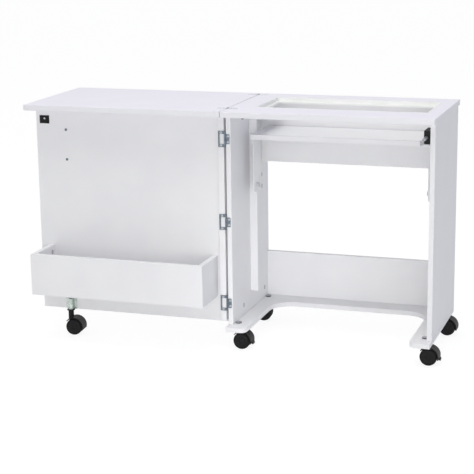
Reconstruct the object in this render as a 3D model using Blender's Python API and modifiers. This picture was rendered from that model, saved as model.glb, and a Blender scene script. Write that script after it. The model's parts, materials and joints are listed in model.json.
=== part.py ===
"""Folding sewing table: a cabinet on casters, a door with a storage tray, a fold-over
leaf and a machine platform that slides up and down behind the door.

Axes: +X to the right along the front, +Y to the back, +Z up. The floor is Z = 0.
Sizes are worked out from the seam between the leaf and the main top (X = 0) and the
front edge of the tops (Y = 0). One empty carries everything, so that the finished
object stands with the middle of its footprint on the origin.
"""
import math

import bmesh
import bpy
from mathutils import Matrix, Vector

MM = 0.001

# ---- overall -------------------------------------------------------------------------
TABLE_HEIGHT = 762 * MM
TOP_LENGTH = 654 * MM          # each of the two tops, along X
TOP_DEPTH = 428 * MM           # along Y
TOP_THICK = 18 * MM
BOARD = 15 * MM                # side panels, base, rails, door, tray
TOUCH = 0.3 * MM               # gap kept between pieces that touch
SEAM_GAP = 2 * MM              # between the leaf and the main top

# ---- cabinet -------------------------------------------------------------------------
SIDE_OVERHANG = 5 * MM         # top beyond each side panel
PANEL_SETBACK = 44 * MM        # side panels' front edges behind the top's front edge
FOOT_FRONT = 11 * MM           # front of the base's feet
FOOT_WIDTH = 65 * MM
FOOT_CORNER = 22 * MM
REAR_BAR_DEEP = 85 * MM        # the base's rear bar
BAY_CORNER = 70 * MM           # inner corners of the U
UPPER_RAIL_INSET = 59 * MM     # behind the upper rail
UPPER_RAIL_TALL = 194 * MM
LOWER_RAIL_TALL = 152 * MM
POST_WIDE = 25 * MM            # along X, off the side panel
POST_DEEP = 15 * MM
POST_INSET = 186 * MM          # behind the post
POST_RAISE = 64 * MM           # the post ends above the base
BUMPER_RADIUS = 6 * MM
BUMPER_DEEP = 3 * MM
BUMPER_INSET = 105 * MM        # from the base and from the top
STOP_RADIUS = 4 * MM           # rubber stop under the top, for the closed door
STOP_DEEP = 2.5 * MM
STOP_X = 71 * MM
STOP_Y = 8 * MM

# ---- machine opening and its trim ----------------------------------------------------
OPENING_LEFT = 78 * MM
OPENING_RIGHT_MARGIN = 43 * MM
OPENING_FRONT = 123 * MM
OPENING_REAR_MARGIN = 77 * MM
TRIM_WALL = 3 * MM
TRIM_LEDGE = 12 * MM
TRIM_LEDGE_THICK = 6 * MM

# ---- machine platform and its lift ---------------------------------------------------
PLATFORM_DROP = 93 * MM        # platform's face below the top's face, at rest
PLATFORM_THICK = 16 * MM
PLATFORM_LEAD = 67 * MM        # in front of the posts
PLATFORM_REAR_GAP = 4 * MM     # to the upper rail
PLATFORM_SHORT = 27 * MM       # right end, so that it passes the latch
LIFT_PLATE = 4 * MM
LIFT_RUNNING_GAP = 0.8 * MM    # between the post and the sliding plate
LIFT_PLATE_LEAD = 47 * MM      # in front of the posts
LIFT_PLATE_DEEP = 66 * MM
LIFT_PLATE_TALL = 177 * MM
LIFT_PLATE_ROUND = 24 * MM
LIFT_FLANGE = 42 * MM          # turned in under the platform
KNOB_RADIUS = 8 * MM
KNOB_LONG = 7 * MM
KNOB_SHANK = 3 * MM
KNOB_CLEAR = 0.3 * MM

# ---- door and tray -------------------------------------------------------------------
DOOR_TO_TOP = 4 * MM
DOOR_TO_BASE = 2 * MM
DOOR_REVEAL = 0.5 * MM         # closed door behind the top's front edge
DOOR_FREE_REVEAL = 1 * MM      # closed door inside the far side panel's outer face
STILE_WIDE = 19 * MM
STILE_RAISE = 9 * MM           # the stile ends above the door panel's lower edge
TRAY_NEAR_END = 35 * MM        # from the door's hinged edge
TRAY_FAR_END = 31 * MM         # from the door's free edge
TRAY_DEEP = 148 * MM
TRAY_RAISE = 82 * MM           # above the door's lower edge
TRAY_TALL = 132 * MM
TRAY_FLOOR = 12 * MM
STRIKE_WIDE = 33 * MM
STRIKE_TALL = 26 * MM
STRIKE_THICK = 1.3 * MM
STRIKE_INSET = 13 * MM         # from the door's free edge
STRIKE_RISE = 8 * MM           # plate's middle above the plunger
HANDLE_INSET = 103 * MM        # from the door's free edge
HANDLE_DROP = 112 * MM         # handle's middle below the door's top
HANDLE_SPACING = 96 * MM
HANDLE_STANDOFF = 26 * MM
HANDLE_RADIUS = 4.5 * MM

# ---- door hinges ---------------------------------------------------------------------
HINGE_GAP = 2 * MM             # closed gap between the stile and the side panel
HINGE_EDGE_GAP = 7 * MM        # open gap between the door and the side panel
HINGE_PLATE = 1.4 * MM
HINGE_TALL = 50 * MM
HINGE_INNER_TALL = 30 * MM
HINGE_INNER_WIDE = 15 * MM     # from the pin's axis
HINGE_OUTER_WIDE = 21.5 * MM
HINGE_BAR = 5 * MM
HINGE_KNUCKLE = 2.6 * MM
HINGE_PIN = 1.1 * MM
HINGE_INSET = 68 * MM          # outer hinges from the door's ends

# ---- leaf hinges ---------------------------------------------------------------------
LEAF_AXIS_RISE = 0.5 * MM      # hinge axis above the tops' faces
LEAF_HINGE_REACH = 34 * MM
LEAF_HINGE_WIDE = 16 * MM
LEAF_HINGE_PLATE = 1.8 * MM
LEAF_KNUCKLE = 2.6 * MM
LEAF_HINGE_FRONT = 77 * MM     # from the tops' front edge
LEAF_HINGE_REAR = 37 * MM      # from the tops' rear edge
LEAF_PIN = 1.1 * MM

# ---- touch latch ---------------------------------------------------------------------
LATCH_DROP = 45 * MM           # plunger's axis below the top's underside
LATCH_LEAD = 12 * MM           # behind the side panel's front edge
LATCH_DEEP = 64 * MM
LATCH_TALL = 40 * MM
LATCH_WIDE = 21 * MM
LATCH_FLANGE = 2 * MM
LATCH_FLANGE_TALL = 52 * MM
PLUNGER_RADIUS = 5 * MM
PLUNGER_LONG = 76 * MM
PLUNGER_CLEAR = 0.35 * MM
PLUNGER_TRAVEL = 14 * MM
PLUNGER_GAP = 0.4 * MM         # tip to the closed door's strike plate
PLUNGER_INSET = 14 * MM        # from the side panel

# ---- casters -------------------------------------------------------------------------
WHEEL_RADIUS = 27 * MM
WHEEL_WIDE = 16 * MM
AXLE_CLEAR = 0.4 * MM
WHEEL_HUB = 8 * MM
WHEEL_DISH = 2 * MM            # outer face sunk behind the tyre
WHEEL_SIDES = 20
AXLE_RADIUS = 3 * MM
CASTER_WEB = 8 * MM
CASTER_WEB_GAP = 0.6 * MM
CASTER_TRAIL = 13.5 * MM
CASTER_NECK = 7 * MM           # hood to the underside of the base
HOOD_CLEAR = 2 * MM            # wheel to hood
HOOD_THICK = 3 * MM
HOOD_START = -15               # degrees, at the trailing side
HOOD_END = 140                 # degrees, over the top to the leading side
HOOD_STEPS = 12
WEB_SETBACK = 4                # degrees, the web inside the hood's ends
LOCK_LONG = 4 * MM             # lock lever's tip beyond the hood
LOCK_WIDE = 20 * MM
BOSS_RADIUS = 9 * MM
COLLAR_RADIUS = 13 * MM
COLLAR_THICK = 2.5 * MM
STEM_RADIUS = 5 * MM
STEM_CLEAR = 0.4 * MM
STEM_HEAD_RADIUS = 9 * MM
STEM_HEAD_THICK = 2.5 * MM
CASTER_INSET = 10 * MM         # stem from the side panel's inner face
CASTER_FRONT = 59 * MM         # front stems behind the feet's front edge
CASTER_REAR = 40 * MM          # rear stems in front of the base's rear edge
REST_TURNS = {"rear_left": 185, "door": 5}     # swivel angles at rest, in degrees
DOOR_CASTER_INSET = 99 * MM    # from the door's free edge
BRACKET_WIDE = 38 * MM
BRACKET_TALL = 35 * MM
BRACKET_PLATE = 2 * MM
SOCKET_WALL = 2.6 * MM

ROUND_SIDES = 14               # sides of small round pieces
ARC_STEPS = 7                  # points in a quarter round of an outline

# ---- worked out ----------------------------------------------------------------------
TOP_UNDER = TABLE_HEIGHT - TOP_THICK
TOP_LEFT = SEAM_GAP / 2
TOP_RIGHT = TOP_LEFT + TOP_LENGTH
HOOD_INNER = WHEEL_RADIUS + HOOD_CLEAR
HOOD_OUTER = HOOD_INNER + HOOD_THICK
LOCK_REACH = HOOD_OUTER + LOCK_LONG
CASTER_HEIGHT = WHEEL_RADIUS + HOOD_OUTER + CASTER_NECK     # floor to the base
OUTER_LEFT = SIDE_OVERHANG
OUTER_RIGHT = TOP_RIGHT - SIDE_OVERHANG
INNER_LEFT = OUTER_LEFT + BOARD
INNER_RIGHT = OUTER_RIGHT - BOARD
BASE_TOP = CASTER_HEIGHT + BOARD
HINGE_X = OUTER_LEFT - HINGE_EDGE_GAP / 2
HINGE_Y = PANEL_SETBACK - HINGE_GAP / 2
DOOR_RIGHT = OUTER_LEFT - HINGE_EDGE_GAP
DOOR_LEFT = 2 * HINGE_X - (OUTER_RIGHT - DOOR_FREE_REVEAL)
DOOR_BACK = 2 * HINGE_Y - DOOR_REVEAL
DOOR_FACE = DOOR_BACK - BOARD              # the panel's inner face, towards the front
DOOR_BOTTOM = BASE_TOP + DOOR_TO_BASE
DOOR_TOP = TOP_UNDER - DOOR_TO_TOP
HINGE_HEIGHTS = (DOOR_BOTTOM + HINGE_INSET, (DOOR_BOTTOM + DOOR_TOP) / 2, DOOR_TOP - HINGE_INSET)
TRAY_RIGHT = DOOR_RIGHT - TRAY_NEAR_END
TRAY_LEFT = DOOR_LEFT + TRAY_FAR_END
TRAY_BACK = DOOR_FACE - TOUCH
TRAY_FRONT = TRAY_BACK - TRAY_DEEP
TRAY_BOTTOM = DOOR_BOTTOM + TRAY_RAISE
STRIKE_FACE = DOOR_FACE - TOUCH - STRIKE_THICK
LIFT_X = INNER_LEFT + TOUCH + POST_WIDE + LIFT_RUNNING_GAP
LIFT_X_RIGHT = INNER_RIGHT - (LIFT_X - INNER_LEFT)
UPPER_RAIL_FRONT = TOP_DEPTH - UPPER_RAIL_INSET - BOARD
POST_FRONT = TOP_DEPTH - POST_INSET - POST_DEEP
PLATFORM_TOP = TABLE_HEIGHT - PLATFORM_DROP
PLATFORM_UNDER = PLATFORM_TOP - PLATFORM_THICK
PLATFORM_FRONT = POST_FRONT - PLATFORM_LEAD
LIFT_PLATE_FRONT = POST_FRONT - LIFT_PLATE_LEAD
OPENING_RIGHT = TOP_RIGHT - OPENING_RIGHT_MARGIN
OPENING_BACK = TOP_DEPTH - OPENING_REAR_MARGIN
LEAF_HINGE_YS = (LEAF_HINGE_FRONT, TOP_DEPTH - LEAF_HINGE_REAR)
LEAF_AXIS_Z = TABLE_HEIGHT + LEAF_AXIS_RISE
WHEEL_OFFSET = CASTER_WEB / 2 + CASTER_WEB_GAP + WHEEL_WIDE / 2
HOOD_WIDE = 2 * (WHEEL_OFFSET + WHEEL_WIDE / 2)
DOOR_CASTER_X = DOOR_LEFT + DOOR_CASTER_INSET
SOCKET_RADIUS = STEM_RADIUS + STEM_CLEAR + SOCKET_WALL
DOOR_CASTER_Y = DOOR_FACE - TOUCH - SOCKET_RADIUS
LATCH_X = INNER_RIGHT - TOUCH
LATCH_Z = TOP_UNDER - LATCH_DROP
LATCH_FRONT = PANEL_SETBACK + LATCH_LEAD
PLUNGER_X = INNER_RIGHT - PLUNGER_INSET
PLUNGER_TIP = 2 * HINGE_Y - STRIKE_FACE + PLUNGER_GAP

LEFT_END = TOP_LEFT - SEAM_GAP - TOP_LENGTH
RIGHT_END = INNER_RIGHT - CASTER_INSET + CASTER_TRAIL + LOCK_REACH
BACK_END = TOP_DEPTH + TOUCH + BUMPER_DEEP
MIDDLE = Vector(((LEFT_END + RIGHT_END) / 2, (TRAY_FRONT + BACK_END) / 2, 0))


# ---- scene helpers -------------------------------------------------------------------
def clear_scene():
    for old in list(bpy.data.objects):
        bpy.data.objects.remove(old, do_unlink=True)


def new_collection(name):
    group = bpy.data.collections.new(name)
    bpy.context.scene.collection.children.link(group)
    return group


def finish(name, colour, roughness, metallic=0.0):
    surface = bpy.data.materials.new(name)
    surface.use_nodes = True
    shader = surface.node_tree.nodes["Principled BSDF"]
    shader.inputs["Base Color"].default_value = (*colour, 1)
    shader.inputs["Roughness"].default_value = roughness
    shader.inputs["Metallic"].default_value = metallic
    surface.diffuse_color = (*colour, 1)
    return surface


clear_scene()
PARTS = new_collection("sewing_table")
CUTTERS = new_collection("cutters")
HOMES = {}

WHITE_BOARD = finish("white_melamine", (0.80, 0.80, 0.82), 0.45)
WHITE_TOP = finish("white_top", (0.78, 0.78, 0.84), 0.40)
CREAM_TRIM = finish("cream_trim", (0.86, 0.87, 0.80), 0.45)
WHITE_STEEL = finish("white_painted_steel", (0.78, 0.79, 0.80), 0.40)
GREY_STEEL = finish("nickel_steel", (0.38, 0.42, 0.48), 0.35, 1.0)
GALVANISED = finish("galvanised_steel", (0.30, 0.36, 0.34), 0.45, 1.0)
BLACK_PLASTIC = finish("black_plastic", (0.02, 0.02, 0.022), 0.45)
GREY_PLASTIC = finish("grey_plastic", (0.16, 0.17, 0.18), 0.50)
BLACK_RUBBER = finish("black_rubber", (0.015, 0.015, 0.015), 0.80)


def empty(name, at, parent=None):
    """A joint's axis, or the point that carries the whole table."""
    holder = bpy.data.objects.new(name, None)
    PARTS.objects.link(holder)
    HOMES[holder.name] = Vector(at)
    if parent is not None:
        holder.parent = parent
        holder.location = Vector(at) - HOMES[parent.name]
    else:
        holder.location = Vector(at) - MIDDLE
    return holder


def attach(piece, parent, at, surface):
    """Hang a piece on its carrier; at is where the piece's own origin goes."""
    piece.parent = parent
    piece.location = Vector(at) - HOMES[parent.name]
    piece.data.materials.clear()
    piece.data.materials.append(surface)
    return piece


def link_mesh(name, shape, group=None):
    mesh = bpy.data.meshes.new(name)
    shape.to_mesh(mesh)
    shape.free()
    piece = bpy.data.objects.new(name, mesh)
    (group or PARTS).objects.link(piece)
    return piece


def hide(cutter):
    cutter.hide_render = True
    cutter.display_type = "WIRE"
    return cutter


# ---- shapes, each about its own origin ----------------------------------------------
def box(name, size, group=None):
    """A board with its origin at its middle."""
    shape = bmesh.new()
    bmesh.ops.create_cube(shape, size=1, matrix=Matrix.Diagonal((*size, 1)))
    return link_mesh(name, shape, group)


def rod(name, radius, length, axis="Z", sides=ROUND_SIDES, group=None):
    """A cylinder with its origin at its middle, along X, Y or Z."""
    turn = {"X": Matrix.Rotation(math.pi / 2, 4, "Y"),
            "Y": Matrix.Rotation(-math.pi / 2, 4, "X"),
            "Z": Matrix.Identity(4)}[axis]
    shape = bmesh.new()
    bmesh.ops.create_cone(shape, cap_ends=True, segments=sides, radius1=radius,
                          radius2=radius, depth=length, matrix=turn)
    piece = link_mesh(name, shape, group)
    piece.data.shade_smooth()
    piece.data.set_sharp_from_angle(angle=math.radians(40))
    return piece


def arc(centre, radius, start, end, steps):
    """Points on an arc, in degrees."""
    points = []
    for step in range(steps + 1):
        turn = math.radians(start + (end - start) * step / steps)
        points.append((centre[0] + radius * math.cos(turn), centre[1] + radius * math.sin(turn)))
    return points


def rounded(corners):
    """An outline from (x, y, radius) corners; a radius of 0 is a sharp corner."""
    points = []
    count = len(corners)
    for index, (x, y, radius) in enumerate(corners):
        here = Vector((x, y))
        if radius == 0:
            points.append((x, y))
            continue
        before = (Vector(corners[index - 1][:2]) - here).normalized()
        after = (Vector(corners[(index + 1) % count][:2]) - here).normalized()
        half = before.angle(after) / 2
        middle = here + (before + after).normalized() * (radius / math.sin(half))
        start = here + before * (radius / math.tan(half)) - middle
        sweep = before.angle_signed(after)
        sweep = math.copysign(math.pi - abs(sweep), sweep)
        first = math.atan2(start.y, start.x)
        for step in range(ARC_STEPS + 1):
            turn = first + sweep * step / ARC_STEPS
            points.append((middle.x + radius * math.cos(turn), middle.y + radius * math.sin(turn)))
    return points


def plate(name, outlines, thick, turn=(0, 0, 0), group=None):
    """A flat sheet from closed outlines; an outline inside another is a hole."""
    curve = bpy.data.curves.new(name, "CURVE")
    curve.dimensions = "2D"
    curve.fill_mode = "BOTH"
    curve.extrude = thick / 2
    for outline in outlines:
        spline = curve.splines.new("POLY")
        spline.points.add(len(outline) - 1)
        spline.use_cyclic_u = True
        for point, (x, y) in zip(spline.points, outline):
            point.co = (x, y, 0, 1)
    piece = bpy.data.objects.new(name, curve)
    piece.rotation_euler = turn
    (group or PARTS).objects.link(piece)
    return as_mesh(piece)


def as_mesh(piece):
    """The same piece as a welded mesh with its rotation taken into the mesh."""
    bpy.context.view_layer.update()
    source = piece.evaluated_get(bpy.context.evaluated_depsgraph_get())
    mesh = bpy.data.meshes.new_from_object(source)
    shape = bmesh.new()
    shape.from_mesh(mesh)
    bmesh.ops.transform(shape, matrix=piece.matrix_world, verts=shape.verts)
    bmesh.ops.remove_doubles(shape, verts=shape.verts, dist=0.01 * MM)
    bmesh.ops.recalc_face_normals(shape, faces=shape.faces)
    shape.to_mesh(mesh)
    shape.free()
    name, group = piece.name, piece.users_collection[0]
    bpy.data.objects.remove(piece, do_unlink=True)
    solid = bpy.data.objects.new(name, mesh)
    group.objects.link(solid)
    return solid


def combine(piece, other, at, operation):
    """Join another shape to a piece, or cut it away; at is in the piece's own space."""
    other.parent = piece
    other.location = at
    hide(other)
    step = piece.modifiers.new(other.name, "BOOLEAN")
    step.operation = operation
    step.solver = "EXACT"
    step.object = other


def join(piece, other, at=(0, 0, 0)):
    combine(piece, other, at, "UNION")


def cut(piece, other, at=(0, 0, 0)):
    combine(piece, other, at, "DIFFERENCE")


def settle(piece):
    """Keep a piece's joined and cut shape as its own mesh, so that it turns as one solid."""
    bpy.context.view_layer.update()
    shaped = piece.evaluated_get(bpy.context.evaluated_depsgraph_get())
    piece.data = bpy.data.meshes.new_from_object(shaped)
    piece.modifiers.clear()


def turned(name, profile, sides):
    """A solid turned about its own Z axis from a closed profile of (radius, z) points."""
    mesh = bpy.data.meshes.new(name)
    edges = [(index, (index + 1) % len(profile)) for index in range(len(profile))]
    mesh.from_pydata([(radius, 0, z) for radius, z in profile], edges, [])
    piece = bpy.data.objects.new(name, mesh)
    PARTS.objects.link(piece)
    spin = piece.modifiers.new("spin", "SCREW")
    spin.axis = "Z"
    spin.angle = 2 * math.pi
    spin.steps = sides
    spin.render_steps = sides
    spin.use_merge_vertices = True
    spin.merge_threshold = 0.01 * MM
    return piece


# ---- cabinet -------------------------------------------------------------------------
def board(name, low, high, parent, surface=WHITE_BOARD):
    """A plain board between two corners."""
    low, high = Vector(low), Vector(high)
    return attach(box(name, high - low), parent, (low + high) / 2, surface)


def side_panels(table):
    for name, left in (("left_side_panel", OUTER_LEFT), ("right_side_panel", INNER_RIGHT)):
        board(name, (left, PANEL_SETBACK, BASE_TOP + TOUCH),
              (left + BOARD, TOP_DEPTH, TOP_UNDER - TOUCH), table)


def caster_spots():
    """Stem positions of the four casters under the base."""
    left, right = INNER_LEFT + CASTER_INSET, INNER_RIGHT - CASTER_INSET
    front, rear = FOOT_FRONT + CASTER_FRONT, TOP_DEPTH - CASTER_REAR
    return {"front_left": (left, front), "front_right": (right, front),
            "rear_left": (left, rear), "rear_right": (right, rear)}


def base_panel(table):
    """A U-shaped board: two feet that run forward from a rear bar."""
    inner_left, inner_right = OUTER_LEFT + FOOT_WIDTH, OUTER_RIGHT - FOOT_WIDTH
    bar_front = TOP_DEPTH - REAR_BAR_DEEP
    outline = rounded([
        (OUTER_LEFT, FOOT_FRONT, 0), (inner_left, FOOT_FRONT, FOOT_CORNER),
        (inner_left, bar_front, BAY_CORNER), (inner_right, bar_front, BAY_CORNER),
        (inner_right, FOOT_FRONT, FOOT_CORNER), (OUTER_RIGHT, FOOT_FRONT, 0),
        (OUTER_RIGHT, TOP_DEPTH, 0), (OUTER_LEFT, TOP_DEPTH, 0)])
    holes = [arc(spot, STEM_RADIUS + STEM_CLEAR, 0, 360 - 360 / ROUND_SIDES, ROUND_SIDES - 1)
             for spot in caster_spots().values()]
    attach(plate("base_panel", [outline, *holes], BOARD), table,
           (0, 0, CASTER_HEIGHT + BOARD / 2), WHITE_BOARD)


def back_rails(table):
    left, right = INNER_LEFT + TOUCH, INNER_RIGHT - TOUCH
    board("upper_back_rail", (left, UPPER_RAIL_FRONT, TOP_UNDER - UPPER_RAIL_TALL),
          (right, UPPER_RAIL_FRONT + BOARD, TOP_UNDER - TOUCH), table)
    board("lower_back_rail", (left, TOP_DEPTH - BOARD, BASE_TOP + TOUCH),
          (right, TOP_DEPTH, BASE_TOP + LOWER_RAIL_TALL), table)


def lift_posts(table):
    for name, left in (("left_lift_post", INNER_LEFT + TOUCH),
                       ("right_lift_post", INNER_RIGHT - TOUCH - POST_WIDE)):
        board(name, (left, POST_FRONT, BASE_TOP + POST_RAISE),
              (left + POST_WIDE, POST_FRONT + POST_DEEP, TOP_UNDER - TOUCH), table)


def top_panel(name, left, parent):
    """One of the two tops, with a shallow pocket at the seam for each flush hinge."""
    middle = Vector((left + TOP_LENGTH / 2, TOP_DEPTH / 2, TABLE_HEIGHT - TOP_THICK / 2))
    panel = attach(box(name, (TOP_LENGTH, TOP_DEPTH, TOP_THICK)), parent, middle, WHITE_TOP)
    deep = LEAF_KNUCKLE - LEAF_AXIS_RISE + TOUCH
    size = (2 * (LEAF_HINGE_REACH + TOUCH), LEAF_HINGE_WIDE + 2 * TOUCH, 2 * deep)
    for index, y in enumerate(LEAF_HINGE_YS):
        cut(panel, box(f"{name}_pocket_{index}", size, CUTTERS),
            Vector((0, y, TABLE_HEIGHT)) - middle)
    return panel, middle


def main_top(table):
    panel, top_middle = top_panel("main_top", TOP_LEFT, table)
    long, deep = OPENING_RIGHT - OPENING_LEFT, OPENING_BACK - OPENING_FRONT
    middle = Vector((OPENING_LEFT + long / 2, OPENING_FRONT + deep / 2, TOP_UNDER))
    opening = box("machine_opening", (long, deep, 3 * TOP_THICK), CUTTERS)
    cut(panel, opening, middle - top_middle)
    opening_trim(table, middle, long - 2 * TOUCH, deep - 2 * TOUCH)


def opening_trim(table, middle, long, deep):
    """A rabbeted frame: a thin wall round the opening and a ledge for an insert."""
    trim = box("opening_trim", (long, deep, TOP_THICK))
    attach(trim, table, (middle.x, middle.y, TABLE_HEIGHT - TOP_THICK / 2), CREAM_TRIM)
    rabbet = box("trim_rabbet", (long - 2 * TRIM_WALL, deep - 2 * TRIM_WALL, TOP_THICK), CUTTERS)
    cut(trim, rabbet, (0, 0, TRIM_LEDGE_THICK))
    through = 2 * (TRIM_WALL + TRIM_LEDGE)
    hole = box("trim_hole", (long - through, deep - through, 3 * TOP_THICK), CUTTERS)
    cut(trim, hole)


def rubber_feet(table):
    """Wall bumpers behind the side panels and the closed door's stop."""
    for side, x in (("left", OUTER_LEFT + BOARD / 2), ("right", OUTER_RIGHT - BOARD / 2)):
        for level, z in (("lower", BASE_TOP + BUMPER_INSET), ("upper", TOP_UNDER - BUMPER_INSET)):
            bumper = rod(f"wall_bumper_{side}_{level}", BUMPER_RADIUS, BUMPER_DEEP, "Y")
            attach(bumper, table, (x, TOP_DEPTH + TOUCH + BUMPER_DEEP / 2, z), BLACK_RUBBER)
    stop = rod("door_stop_bumper", STOP_RADIUS, STOP_DEEP)
    attach(stop, table, (STOP_X, STOP_Y, TOP_UNDER - TOUCH - STOP_DEEP / 2), BLACK_RUBBER)


# ---- hinges --------------------------------------------------------------------------
def knuckle(piece, name, length, at, axis, bore):
    """Add a hinge knuckle to a leaf; bore is the pin hole's radius."""
    radius = LEAF_KNUCKLE if axis == "Y" else HINGE_KNUCKLE
    join(piece, rod(f"{name}_knuckle", radius, length, axis, group=CUTTERS), at)
    if bore:
        tool = rod(f"{name}_bore", bore, length + 2 * MM, axis, 10, CUTTERS)
        cut(piece, tool, at)


def leaf_hinge(index, y, table, leaf):
    """A flush hinge: the main leaf carries the middle knuckle and the fixed pin."""
    third = LEAF_HINGE_WIDE / 3
    tag = ("front", "rear")[index]
    bottom = TABLE_HEIGHT - LEAF_HINGE_PLATE / 2 - TOUCH / 2
    inner = LEAF_KNUCKLE / 2
    long = LEAF_HINGE_REACH - inner
    for side, parent, owner in ((1, table, "main"), (-1, leaf, "leaf")):
        name = f"leaf_hinge_{tag}_{owner}"
        sheet = box(name, (long, LEAF_HINGE_WIDE, LEAF_HINGE_PLATE))
        middle = Vector((side * (inner + long / 2), y, bottom))
        attach(sheet, parent, middle, GREY_STEEL)
        axis = Vector((0, y, LEAF_AXIS_Z)) - middle
        clear = LEAF_KNUCKLE + TOUCH
        if side == 1:
            for end in (-1, 1):
                tool = box(f"{name}_notch_{end}",
                           (2 * clear, third + 2 * TOUCH, 4 * clear), CUTTERS)
                cut(sheet, tool, axis + Vector((0, end * third, 0)))
            knuckle(sheet, name, third - 2 * TOUCH, axis, "Y", 0)
            pin = rod(f"{name}_pin", LEAF_PIN, LEAF_HINGE_WIDE - 2 * TOUCH, "Y", 10, CUTTERS)
            join(sheet, pin, axis)
        else:
            tool = box(f"{name}_notch", (2 * clear, third + 2 * TOUCH, 4 * clear), CUTTERS)
            cut(sheet, tool, axis)
            for end in (-1, 1):
                knuckle(sheet, f"{name}_{end}", third - TOUCH,
                        axis + Vector((0, end * (third + TOUCH / 2), 0)), "Y",
                        LEAF_PIN + TOUCH)


def door_hinge(index, z, table, door):
    """A leaf-in-leaf hinge on the front edges of the stile and the side panel."""
    tag = ("lower", "middle", "upper")[index]
    half, inner_half = HINGE_TALL / 2, HINGE_INNER_TALL / 2
    window = inner_half + 3 * TOUCH
    edge_on = (math.pi / 2, 0, 0)
    bore = HINGE_PIN + TOUCH
    outer = plate(f"door_hinge_{tag}_outer", [[
        (-HINGE_OUTER_WIDE, -half), (0, -half), (0, -window),
        (HINGE_BAR - HINGE_OUTER_WIDE, -window), (HINGE_BAR - HINGE_OUTER_WIDE, window),
        (0, window), (0, half), (-HINGE_OUTER_WIDE, half)]], HINGE_PLATE, edge_on)
    attach(outer, door, (HINGE_X, HINGE_Y, z), GREY_STEEL)
    for end in (-1, 1):
        middle = end * (half + window) / 2
        knuckle(outer, f"{outer.name}_{end}", half - window, (0, 0, middle), "Z", bore)
    inner = plate(f"door_hinge_{tag}_inner", [rounded([
        (0, -inner_half, 0), (HINGE_INNER_WIDE, -inner_half, 2 * MM),
        (HINGE_INNER_WIDE, inner_half, 2 * MM), (0, inner_half, 0)])], HINGE_PLATE, edge_on)
    attach(inner, table, (HINGE_X, HINGE_Y, z), GREY_STEEL)
    knuckle(inner, inner.name, 2 * inner_half, (0, 0, 0), "Z", bore)
    pin = rod(f"door_hinge_{tag}_pin", HINGE_PIN, HINGE_TALL, sides=10)
    attach(pin, table, (HINGE_X, HINGE_Y, z), GREY_STEEL)


# ---- door ----------------------------------------------------------------------------
def door_boards(door):
    board("door_panel", (DOOR_LEFT, DOOR_FACE, DOOR_BOTTOM),
          (DOOR_RIGHT, DOOR_BACK, DOOR_TOP), door)
    board("door_stile", (DOOR_RIGHT - STILE_WIDE, PANEL_SETBACK, DOOR_BOTTOM + STILE_RAISE),
          (DOOR_RIGHT, DOOR_FACE - TOUCH, DOOR_TOP), door)


def tray(door):
    """An open box on the door: a front board that covers the ends, and a floor."""
    top = TRAY_BOTTOM + TRAY_TALL
    behind = TRAY_FRONT + BOARD + TOUCH
    board("tray_front", (TRAY_LEFT, TRAY_FRONT, TRAY_BOTTOM),
          (TRAY_RIGHT, TRAY_FRONT + BOARD, top), door)
    for name, left in (("tray_left_end", TRAY_LEFT), ("tray_right_end", TRAY_RIGHT - BOARD)):
        board(name, (left, behind, TRAY_BOTTOM), (left + BOARD, TRAY_BACK, top), door)
    board("tray_floor", (TRAY_LEFT + BOARD + TOUCH, behind, TRAY_BOTTOM),
          (TRAY_RIGHT - BOARD - TOUCH, TRAY_BACK, TRAY_BOTTOM + TRAY_FLOOR), door)


def strike_plate(door):
    left = DOOR_LEFT + STRIKE_INSET
    low = LATCH_Z + STRIKE_RISE - STRIKE_TALL / 2
    board("strike_plate", (left, STRIKE_FACE, low),
          (left + STRIKE_WIDE, STRIKE_FACE + STRIKE_THICK, low + STRIKE_TALL), door, BLACK_PLASTIC)


def door_handle(door):
    """A bow handle on the outside: two feet and a bar with rounded corners."""
    reach = HANDLE_SPACING / 2
    bend = HANDLE_STANDOFF * 0.6
    path = [(-reach, 0)]
    path += arc((bend - reach, HANDLE_STANDOFF - bend), bend, 180, 90, 5)
    path += arc((reach - bend, HANDLE_STANDOFF - bend), bend, 90, 0, 5)
    path += [(reach, 0)]
    curve = bpy.data.curves.new("door_handle", "CURVE")
    curve.dimensions = "3D"
    curve.bevel_depth = HANDLE_RADIUS
    curve.bevel_resolution = 2
    curve.use_fill_caps = True
    spline = curve.splines.new("POLY")
    spline.points.add(len(path) - 1)
    for point, (along, out) in zip(spline.points, path):
        point.co = (0, out, along, 1)
    bar = bpy.data.objects.new("door_handle", curve)
    PARTS.objects.link(bar)
    bar = as_mesh(bar)
    attach(bar, door, (DOOR_LEFT + HANDLE_INSET, DOOR_BACK + TOUCH, DOOR_TOP - HANDLE_DROP),
           GREY_STEEL)


def caster_bracket(door):
    """A side plate with an upright socket for the door caster's stem."""
    middle = Vector((DOOR_CASTER_X, DOOR_FACE - TOUCH - BRACKET_PLATE / 2,
                     DOOR_BOTTOM + BRACKET_TALL / 2))
    bracket = box("caster_bracket", (BRACKET_WIDE, BRACKET_PLATE, BRACKET_TALL))
    attach(bracket, door, middle, GALVANISED)
    axis = Vector((0, DOOR_CASTER_Y - middle.y, 0))
    join(bracket, rod("socket_tube", SOCKET_RADIUS, BRACKET_TALL, group=CUTTERS), axis)
    cut(bracket, rod("socket_bore", STEM_RADIUS + STEM_CLEAR, 2 * BRACKET_TALL,
                     group=CUTTERS), axis)


# ---- platform and lift ---------------------------------------------------------------
def platform(lift):
    board("machine_platform", (LIFT_X, PLATFORM_FRONT, PLATFORM_UNDER),
          (LIFT_X_RIGHT - PLATFORM_SHORT, UPPER_RAIL_FRONT - PLATFORM_REAR_GAP, PLATFORM_TOP), lift)


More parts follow.
